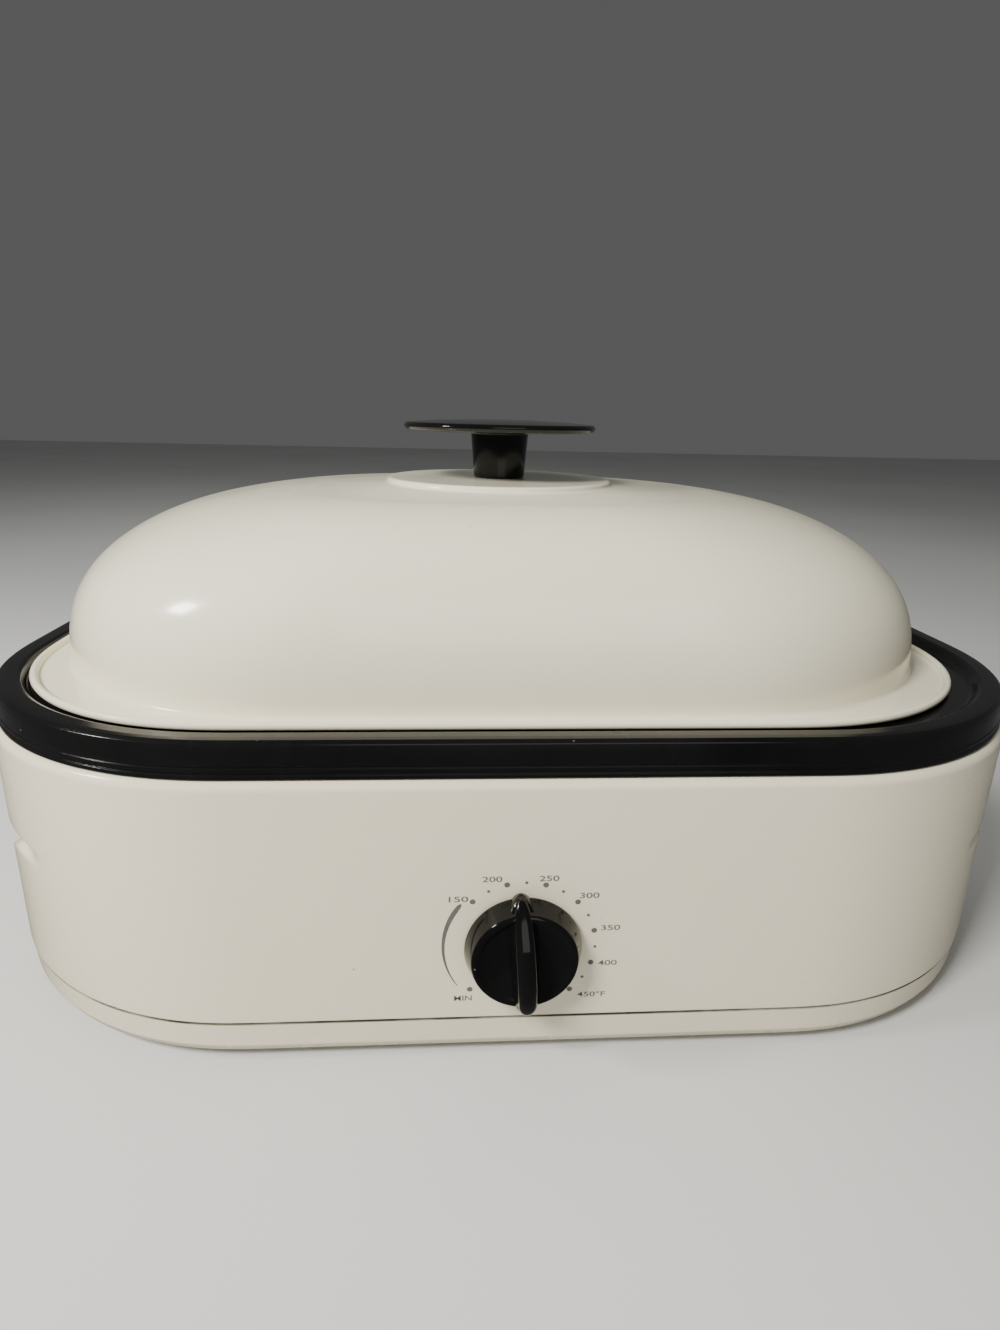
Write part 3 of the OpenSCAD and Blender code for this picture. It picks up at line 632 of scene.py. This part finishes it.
# ---------------------------------------------------------------- roasting pan
pan_prof = fillet([
    (-26.9, PAN_TOP - 1.6, 1.5), (-27.4, PAN_TOP, 1.4), (-36, PAN_TOP, 0), (-45.0, PAN_TOP, 3.0), (-50.4, PAN_Z + 14, 8), (-51.5, PAN_Z + 1.2, 13.0), (-110, PAN_Z + 1.2, 0),
    (-110, PAN_Z, 0), (-52.3, PAN_Z, 14.0), (-49.2, PAN_Z + 14, 8), (-43.8, PAN_TOP - 1.2, 2.0), (-30.2, PAN_TOP - 1.2, 0.3), (-30.0, PAN_TOP - 3.1, 1.4), (-27.0, PAN_TOP - 3.1, 1.4)], seg=7)


def pan():
    count = 300
    c, nr = outline(HL, HD, RC, count)
    # outer skin from the middle of the floor out, over the rim and back in underneath
    top = [p for p in pan_prof]
    rings = [np.c_[c + nr * o, np.full(count, z)] for o, z in top]
    k = len(rings)
    # split the loop at the two floor edges and close both floors
    i0 = int(np.argmin([abs(p[0] + 110) + abs(p[1] - (PAN_Z + 1.2)) for p in top]))
    i1 = int(np.argmin([abs(p[0] + 110) + abs(p[1] - PAN_Z) for p in top]))
    order = [rings[(i1 + j) % k] for j in range(k)]
    faces = loop_faces(k, count, closed_k=False)
    v = list(np.vstack(order))
    for base, z in ((0, PAN_Z), ((k - 1) * count, PAN_Z + 1.2)):
        inner = []
        for s in (0.6, 0.25):
            b = len(v)
            v += [np.array([p[0] * s, p[1] * s, z]) for p in (order[0] if base == 0 else order[-1])]
            inner.append(b)
        prev = base
        for b in inner:
            faces += [(prev + j, prev + (j + 1) % count, b + (j + 1) % count, b + j) for j in range(count)]
            prev = b
        v.append(np.array([0, 0, z]))
        faces += [(prev + j, prev + (j + 1) % count, len(v) - 1) for j in range(count)]
    return weighted(build("roaster_pan", np.array(v), faces))


place(pan(), "pan", "pan", "pan_enamel", "roasting_pan")


# ---------------------------------------------------------------- lid
def dome(t, d=0.0):
    c = math.cos(t) ** (2 / D_FULL)
    s = math.sin(t) ** (2 / D_FULL)
    a = 60 + (D_LEN - d - 60) * c
    b = 60 + (D_DEP - d - 60) * c
    r = D_R - d + (60 - D_R) * (1 - c) ** 1.9
    return a, b, min(r, b), DOME_Z + (D_H - d * 0.2) * s - d * (0.2 + 0.8 * s)


def lid():
    count = 288

    def ring(a, b, r, z, sg=None):
        p, _ = outline(a, b, r, count, sigma=min(12.0, r * 0.12) if sg is None else sg)
        return np.c_[p[:, 0] + LID_OFF, p[:, 1], np.full(count, z)]

    def off(o, z):
        return ring(HL + o, HD + o, RC + o, z)

    rings = []
    # middle of the round pad, from the hole out
    for r in (3.2, 12, 24, 40, 55, 64, PAD_R - 3.4):
        rings.append(ring(r, r, r, PAD_Z + 0.0 * r))
    for a in np.radians(np.linspace(84, 8, 9)):
        rings.append(ring(*([PAD_R - 2.4 + 2.3 * math.cos(a)] * 3), PAD_Z - 2.3 + 2.3 * math.sin(a)))
    rings.append(ring(*([PAD_R + 0.25] * 3), PAD_Z - 2.7))
    rings.append(ring(*([PAD_R + 1.1] * 3), PAD_Z - 3.05))
    ts = np.radians(np.concatenate([np.linspace(74.5, 64, 7), np.linspace(62, 18, 26), np.linspace(16.5, 0.9, 14)]))
    top_t = [dome(t) for t in ts]
    for q in top_t:
        rings.append(ring(*q))
    # fillet from dome wall to flange
    for a in np.radians(np.linspace(180, 270, 9)[1:]):
        rr = 2.6
        e = D_LEN + rr + rr * math.cos(a)
        g = D_DEP + rr + rr * math.cos(a)
        rings.append(ring(e, g, D_R + (e - D_LEN), DOME_Z + rr + rr * math.sin(a) + 0.05))
    # flange: a shallow dish between the fillet and the rolled edge
    e1 = np.array([D_LEN + 3.0, D_DEP + 3.0, D_R + 3.0])
    e2 = np.array([HL - 25.8, HD - 25.8, RC - 25.8])
    for f in (0.25, 0.5, 0.75, 1.0):
        q = e1 * (1 - f) + e2 * f
        rings.append(ring(*q, DOME_Z + 0.05))
    lc = (-22.8, DOME_Z + 0.8)
    rings.append(off(-25.2, DOME_Z + 0.06))
    rings.append(off(-24.95, DOME_Z + 0.16))
    for a in np.radians(np.linspace(188, -90, 24)):
        rings.append(off(lc[0] + 2.0 * math.cos(a), lc[1] + 2.0 * math.sin(a)))
    rings.append(off(-24.0, FLANGE))
    for f in (0.9, 0.6, 0.3, 0.0):
        q = e1 * (1 - f) + e2 * f
        rings.append(ring(*q, FLANGE))
    for a in np.radians(np.linspace(262, 190, 5)):
        rr = 2.6
        e = D_LEN + rr + (rr + LT) * math.cos(a)
        g = D_DEP + rr + (rr + LT) * math.cos(a)
        rings.append(ring(e, g, D_R + (e - D_LEN), DOME_Z + rr + (rr + LT) * math.sin(a)))
    for t in reversed(ts[:-3:2]):
        rings.append(ring(*dome(t, LT)))
    rings.append(ring(*([PAD_R - 0.5] * 3), PAD_Z - 2.6 - LT))
    rings.append(ring(*([PAD_R - 2.0] * 3), PAD_Z - 0.6 - LT))
    rings.append(ring(*([PAD_R - 4.0] * 3), PAD_Z - LT))
    rings.append(ring(30, 30, 30, PAD_Z - LT))
    rings.append(ring(3.2, 3.2, 3.2, PAD_Z - LT))
    return rings_mesh("lid_dome", rings, closed=True)


place(lid(), "lid", "lid", "enamel_white", "lid_shell")

# ---------------------------------------------------------------- lid handle
hp = fillet([
    (2.6, 0.2, 0), (13.6, 0.05, 0), (15.3, 0.05, 0.4), (15.7, 1.2, 0.6), (17.7, STEM_H - 1.1, 1.2), (18.9, STEM_H + 0.0, 0.9),
    (DISC_R - 8, STEM_H + 0.1, 3.0), (DISC_R - 1.4, STEM_H + 0.9, 1.2), (DISC_R, STEM_H + 2.9, 1.6), (DISC_R - 1.4, STEM_H + 4.9, 1.6), (DISC_R - 6, STEM_H + 5.3, 3.0),
    (DISC_R - 18, STEM_H + 6.2, 12.0), (22, STEM_H + 6.9, 12.0)], closed=False, seg=8)
hp = np.vstack([hp, [[0, STEM_H + 7.1]], [[0, 18.5]], [[2.6, 18.5]]])
place(weighted(lathe("lid_knob", hp, 160, (LID_OFF, 0, PAD_Z), closed=True)), "handle", "lid", "knob_black", "lid_handle")


# ---------------------------------------------------------------- flat outlines and thin prints
def flat_shape(name, loops, thick, plane="xy", origin=(0, 0, 0), bevel=0.0):
    """A flat plate with holes, from closed loops of 2-D points; the first loop is the edge."""
    cu = bpy.data.curves.new(name, "CURVE")
    cu.dimensions = "2D"
    cu.fill_mode = "BOTH"
    cu.extrude = thick / 2 * MM
    cu.bevel_depth = bevel * MM
    for lp in loops:
        sp = cu.splines.new("POLY")
        sp.points.add(len(lp) - 1)
        for p, (x, y) in zip(sp.points, lp):
            p.co = (x * MM, y * MM, 0, 1)
        sp.use_cyclic_u = True
    tmp = bpy.data.objects.new(name + "_c", cu)
    bpy.context.scene.collection.objects.link(tmp)
    bpy.context.view_layer.update()
    me = bpy.data.meshes.new_from_object(tmp.evaluated_get(bpy.context.evaluated_depsgraph_get()))
    bpy.data.objects.remove(tmp)
    me.name = name
    if plane == "front":
        me.transform(Matrix.Rotation(math.pi / 2, 4, "X"))
    me.transform(Matrix.Translation((Vector(origin) + Vector((0, BACK, 0))) * MM))
    ob = bpy.data.objects.new(name, me)
    bpy.context.scene.collection.objects.link(ob)
    return ob


def ring2(cx, cy, r, n=48):
    return [(cx + r * math.cos(a), cy + r * math.sin(a)) for a in np.arange(n) * 2 * math.pi / n]


def slot2(cx, cy, l, w, vertical=True, n=12):
    pts = []
    for s, a0 in ((1, 0), (-1, math.pi)):
        for k in range(n + 1):
            a = a0 + math.pi * k / n
            pts.append((w / 2 * math.cos(a), s * (l - w) / 2 + w / 2 * math.sin(a)))
    return [(cx + x, cy + y) if vertical else (cx - y, cy + x) for x, y in pts]


# floor of the base, with its cooling slots and holes
def base_floor():
    c, nr = outline(HL, HD, RC, 360)
    edge = c + nr * -5.41
    loops = [list(map(tuple, edge))]
    for sx in (-1, 1):
        for sy in (-1, 1):
            loops.append(ring2(sx * 165, sy * 118, 4.0))
    for x in (-95, 95):
        for s in (-1, 1):
            loops.append(ring2(x, s * (HD - 12), 2.1, 32))
    for s in (-1, 1):
        loops.append(ring2(s * (HL - 12), 0, 2.1, 32))
        for i in range(-4, 5):
            loops.append(slot2(i * 18, s * 160, 20, 5, vertical=True))
    loops.append(ring2(-178, 60, 2.1, 32))
    return flat_shape("base_floor", loops, 1.2, origin=(0, 0, FOOT + 0.6))


place(base_floor(), "body", "housing", "enamel_white")


# ---------------------------------------------------------------- dial
def label(name, text, cx, cz, cap, wide, yy=-FRONT - 0.03):
    """Printed characters on the front wall, centred on cx, cz and scaled to a cap height and width."""
    cu = bpy.data.curves.new(name, "FONT")
    cu.body = text
    cu.size = 1.0
    cu.align_x = "CENTER"
    cu.resolution_u = 6
    cu.offset = 0.014
    tmp = bpy.data.objects.new(name + "_t", cu)
    bpy.context.scene.collection.objects.link(tmp)
    bpy.context.view_layer.update()
    me = bpy.data.meshes.new_from_object(tmp.evaluated_get(bpy.context.evaluated_depsgraph_get()))
    bpy.data.objects.remove(tmp)
    co = np.empty(len(me.vertices) * 3)
    me.vertices.foreach_get("co", co)
    co = co.reshape(-1, 3)
    lo, hi = co.min(0), co.max(0)
    x = (co[:, 0] - (lo[0] + hi[0]) / 2) / (hi[0] - lo[0]) * wide
    z = (co[:, 1] - (lo[1] + hi[1]) / 2) / (hi[1] - lo[1]) * cap
    out = np.c_[x + cx, np.full(len(x), yy + BACK), z + cz] * MM
    me.vertices.foreach_set("co", out.ravel())
    me.update()
    ob = bpy.data.objects.new(name, me)
    bpy.context.scene.collection.objects.link(ob)
    return ob


def print_mark(name, loops):
    return flat_shape(name, loops, 0.03, plane="front", origin=(0, -FRONT - 0.03, 0))


def polar(deg, r):
    a = math.radians(deg)
    return DIAL_X + r * math.sin(a), DIAL_Z + r * math.cos(a)


big = [-134, -44] + [-44 + 30.2 * i for i in range(1, 7)]
small = [-44 + 30.2 * (i + 0.5) for i in range(0, 6)]
dots = []
for d in big:
    dots.append(ring2(*polar(d, 33.6), 1.35, 28))
for d in small:
    dots.append(ring2(*polar(d, 33.6), 0.75, 20))
prints = [print_mark("dial_dots", dots)]

# the warm range: a crescent that thins towards its lower end
ca = np.radians(np.linspace(-51, -125, 60))
wid = np.interp(np.linspace(0, 1, 60), [0, 0.03, 0.12, 0.45, 1], [0.6, 2.0, 2.4, 1.6, 0.4])
out_pts = [(DIAL_X + (36.6 + w / 2) * math.sin(a), DIAL_Z + (36.6 + w / 2) * math.cos(a)) for a, w in zip(ca, wid)]
in_pts = [(DIAL_X + (36.6 - w / 2) * math.sin(a), DIAL_Z + (36.6 - w / 2) * math.cos(a)) for a, w in zip(ca, wid)]
prints.append(print_mark("dial_warm_arc", [out_pts + in_pts[::-1]]))

for nm, t, x, z, w in (
    ("min", "MIN", -27.3, -28.3, 8.4), ("150", "150", -29.7, 25.6, 8.8), ("200", "200", -14.7, 35.6, 9.0), ("250", "250", 10.9, 35.6, 9.0),
    ("300", "300", 29.6, 26.4, 9.0), ("350", "350", 40.3, 9.0, 9.0), ("400", "400", 40.0, -10.3, 9.0), ("450", "450°F", 33.4, -27.8, 13.4)):
    prints.append(label("dial_" + nm, t, x + DIAL_X, DIAL_Z + z, 2.9, w))
for ob in prints:
    place(ob, "ink", "housing", "enamel_white")


# ---------------------------------------------------------------- temperature knob
def to_front(pts):
    """Local (x, y, z) of the knob, z out of the wall, to the row frame, turned to the pointer angle."""
    p = np.asarray(pts, float)
    a = math.radians(-BAR_ANGLE)
    x = p[:, 0] * math.cos(a) - p[:, 1] * math.sin(a)
    y = p[:, 0] * math.sin(a) + p[:, 1] * math.cos(a)
    return np.c_[DIAL_X + x, -FRONT - p[:, 2], DIAL_Z + y]


def knob():
    # skirt with its shallow dished face
    sp = fillet([
        (5.0, 10.8, 0), (19.6, 11.2, 2.0), (20.9, 11.9, 1.2), (22.6, 12.55, 1.6), (24.1, 11.7, 2.0), (27.1, 2.2, 1.4), (26.9, 1.0, 0.7),
        (24.9, 1.0, 0.4), (24.0, 5.8, 0.4), (5.0, 5.8, 0)], seg=6)
    count = 160
    t = np.arange(count) * 2 * math.pi / count
    v = np.vstack([np.c_[r * np.cos(t), r * np.sin(t), np.full(count, z)] for r, z in sp])
    faces = loop_faces(len(sp), count)
    # grip bar: sections across it at stations along its length
    half, cap = 29.4, 9.0
    st = np.concatenate([-half + cap * (1 - np.cos(np.linspace(0.02, math.pi / 2, 14))), np.linspace(-half + cap + 1.1, half - cap - 1.1, 30),
                         half - cap * (1 - np.cos(np.linspace(math.pi / 2, 0.02, 14)))])
    rows = []
    for y in st:
        ay = abs(y)
        u = max(0.0, (ay - half + cap) / cap)
        end = math.sqrt(max(1 - u * u, 0.0004))
        hw = (6.8 - 1.2 * (ay / half) ** 2) * end
        crest = 23.38 - 46 + math.sqrt(46 ** 2 - y ** 2)
        # the end by the dial falls away in a straight slope, rounded where it meets the crest
        slope = 23.2 - 0.84 * (y - 11.5)
        gap = crest - slope
        top = crest - 0.5 * (gap + math.sqrt(gap * gap + 0.8)) - 2.2 * (1 - end) * (0.6 if y > 0 else 1.0)
        foot = min(10.4, top - 3.0)
        sec = [(-hw, 1.6), (-hw, 4.0), (-hw, foot * 0.75), (-hw * 0.99, foot)]
        # a flank that leans in, and a rounded crest
        hc = hw * 0.66
        rc = min(hc * 0.92, 3.6)
        sh = top - rc * 0.8
        for k in (0.25, 0.5, 0.75):
            sec.append((-(hw * 0.99 + (hc - hw * 0.99) * k ** 1.3), foot + (sh - foot) * k))
        for q in np.radians(np.linspace(176, 98, 9)):
            sec.append((-hc + rc + rc * math.cos(q), sh + rc * 0.8 * math.sin(q)))
        sec.append((-(hc - rc) * 0.5, top))
        full = sec + [(0, top + 0.02)] + [(-x, z) for x, z in reversed(sec)]
        rows.append(np.array([(x, y, z) for x, z in full]))
    m = len(rows[0])
    b = len(v)
    v = np.vstack([v] + rows)
    for i in range(len(rows) - 1):
        for j in range(m):
            j2 = (j + 1) % m
            faces.append((b + i * m + j, b + i * m + j2, b + (i + 1) * m + j2, b + (i + 1) * m + j))
    faces.append(tuple(b + j for j in range(m)))
    faces.append(tuple(b + (len(rows) - 1) * m + j for j in range(m)))
    return weighted(build("temperature_knob", to_front(v), faces))


place(knob(), "knob", "knob", "knob_black", "control_knob")

# ---------------------------------------------------------------- floor, light
mat, nt, b = nodes_of("pale_floor")
v = coords(nt)
f = noise(nt, v, 1.5, 4.0, 0.5)
nt.links.new(ramp(nt, f, [(0.3, (0.60, 0.605, 0.60)), (0.7, (0.66, 0.665, 0.66))]), b.inputs["Base Color"])
b.inputs["Roughness"].default_value = 0.8
floor = bpy.data.objects.new("floor", bpy.data.meshes.new("floor"))
floor.data.from_pydata([(-6, -6, 0), (6, -6, 0), (6, 6, 0), (-6, 6, 0)], [], [(0, 1, 2, 3)])
floor.data.materials.append(mat)
bpy.context.scene.collection.objects.link(floor)
floor.visible_glossy = False


def area(name, loc, target, size, power, color=(1, 1, 1), size_y=None, glossy=True):
    la = bpy.data.lights.new(name, "AREA")
    la.energy = power
    la.color = color
    la.size = size
    if size_y:
        la.shape = "RECTANGLE"
        la.size_y = size_y
    ob = bpy.data.objects.new(name, la)
    bpy.context.scene.collection.objects.link(ob)
    ob.visible_glossy = glossy
    ob.location = loc
    ob.rotation_euler = (Vector(target) - Vector(loc)).to_track_quat("-Z", "Y").to_euler()
    return ob


area("key", (-1.286, -0.39, 1.0), (-0.1, -0.05, 0.15), 0.2, 9, (1.0, 0.985, 0.96))
area("front_left", (-0.8, -0.95, 1.25), (0, -0.1, 0.1), 0.42, 38, (1.0, 0.975, 0.93), glossy=False)
area("fill_front", (0.3, -2.2, 1.25), (0, 0, 0.1), 1.5, 9, (1.0, 0.975, 0.93))
area("top", (-0.1, 0.3, 2.2), (0, 0, 0.2), 1.4, 9, (1.0, 0.99, 0.96), glossy=False)
world = bpy.data.worlds.new("studio")
bpy.context.scene.world = world
world.use_nodes = True
bg = world.node_tree.nodes["Background"]
bg.inputs["Color"].default_value = (0.93, 0.95, 0.93, 1)
bg.inputs["Strength"].default_value = 0.11
